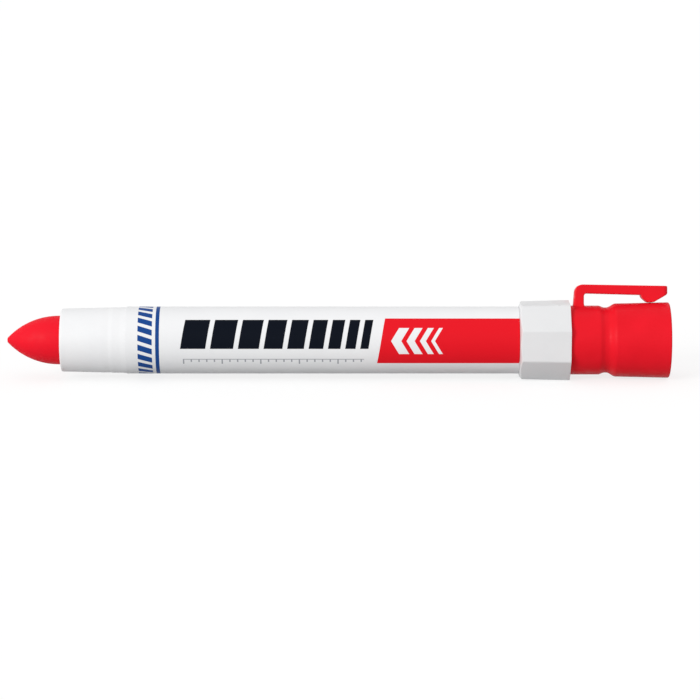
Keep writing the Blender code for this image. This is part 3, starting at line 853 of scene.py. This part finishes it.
bpy.ops.mesh.extrude_region_move(TRANSFORM_OT_translate={"value": (0.0, clip_width, 0.0)})
bpy.ops.mesh.select_all(action="SELECT")
bpy.ops.mesh.normals_make_consistent(inside=False)


def across_clip(place, station, distance):
    """Whether a point lies on the line across the clip at one of its corners."""
    return abs(place.x - station) < WELD and abs(place.z - axis_height - distance) < WELD


for station, distance, rounding in clip_side:
    if rounding:
        pick_edges(clip, lambda a, b: across_clip(a, station, distance) and across_clip(b, station, distance))
        steps = max(bend_steps, round(rounding / bend_step_length))
        bpy.ops.mesh.bevel(offset=rounding, segments=steps, affect="EDGES")
pick_edges(clip, lambda a, b: min(a.x, b.x) > clip_end - WELD and abs(a.y - b.y) < WELD)
bpy.ops.mesh.bevel(offset=end_round, segments=bend_steps, affect="EDGES")
bpy.ops.mesh.select_all(action="DESELECT")
bpy.ops.mesh.edges_select_sharp(sharpness=SHARP_ANGLE)
bpy.ops.mesh.bevel(offset=clip_edge, segments=clip_edge_steps, affect="EDGES")
bpy.ops.mesh.select_all(action="SELECT")
bpy.ops.transform.rotate(value=clip_roll, orient_axis="X", center_override=(0.0, 0.0, axis_height))
bpy.ops.object.mode_set(mode="OBJECT")
smooth_flats(clip)
red_polyethylene(clip, "red_polyethylene_clip", "clip_plastic")


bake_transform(clip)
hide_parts("clip")

# Table and light
# A plain white table under an even sky of soft light, with one soft lamp low in front, from the left. The
# table shows white to the camera and in reflections, and keeps the marker's soft shadow.

table_size = 8.0
table_drop = 0.05 * MM
table_grey = (0.52, 0.52, 0.52, 1.0)
table_seen = (0.26, 0.26, 0.26, 1.0)
table_glow = 0.775
sky_strength = 0.70
lamp_place = (-0.5, -0.6, 0.2)
lamp_height = math.radians(20.0)
lamp_left = math.radians(40.0)
lamp_softness = math.radians(26.0)
lamp_power = 1.75


def seen_directly(tree):
    """1 for what the camera sees, straight or in a reflection, and 0 for the light on other pieces."""
    ray = tree.nodes.new("ShaderNodeLightPath")
    seen = reckon(tree, "MAXIMUM", ray.outputs["Is Camera Ray"], ray.outputs["Is Glossy Ray"])
    return reckon(tree, "MAXIMUM", seen, ray.outputs["Is Transmission Ray"])


bpy.ops.object.select_all(action="DESELECT")
bpy.ops.mesh.primitive_plane_add(size=table_size, location=(0.0, 0.0, -table_drop))
table = bpy.context.active_object
table.name = "table"
bpy.ops.object.transform_apply(location=True, rotation=True, scale=True)
finish = bpy.data.materials.new("white_table")
finish.use_nodes = True
table.data.materials.append(finish)
tree = finish.node_tree
shader = tree.nodes["Principled BSDF"]
shader.inputs["Roughness"].default_value = 1.0
shader.inputs["Specular IOR Level"].default_value = 0.0
shader.inputs["Emission Color"].default_value = (1.0, 1.0, 1.0, 1.0)
seen = seen_directly(tree)
tree.links.new(tint(tree, seen, table_grey, table_seen), shader.inputs["Base Color"])
tree.links.new(reckon(tree, "MULTIPLY", seen, table_glow), shader.inputs["Emission Strength"])

sky = bpy.data.worlds.new("studio_sky")
sky.use_nodes = True
bpy.context.scene.world = sky
tree = sky.node_tree
background = tree.nodes["Background"]
background.inputs["Color"].default_value = (1.0, 1.0, 1.0, 1.0)
lift = reckon(tree, "MULTIPLY", seen_directly(tree), 1.0 - sky_strength)
tree.links.new(reckon(tree, "ADD", lift, sky_strength), background.inputs["Strength"])

bpy.ops.object.light_add(
    type="SUN",
    location=lamp_place,
    rotation=(math.pi / 2 - lamp_height, 0.0, -lamp_left),
)
lamp = bpy.context.active_object
lamp.name = "soft_lamp"
lamp.data.angle = lamp_softness
lamp.data.energy = lamp_power

# Camera
# It looks across the table at the marker's printed side, a little from above, from under a metre away.

camera_rise = math.radians(10.5)
camera_distance = 0.82
camera_target = (3.11 * MM, -0.476 * MM, 7.372 * MM)
camera_nearest = 0.01
sensor_width = 36.0
seen_width = 182.84 * MM

bpy.ops.object.camera_add(
    location=(
        camera_target[0],
        camera_target[1] - camera_distance * math.cos(camera_rise),
        camera_target[2] + camera_distance * math.sin(camera_rise),
    ),
    rotation=(math.pi / 2 - camera_rise, 0.0, 0.0),
)
camera = bpy.context.active_object
camera.name = "camera"
camera.data.sensor_width = sensor_width
camera.data.lens = sensor_width * camera_distance / seen_width
camera.data.clip_start = camera_nearest
bpy.context.scene.camera = camera
bpy.context.scene.view_settings.view_transform = "Standard"
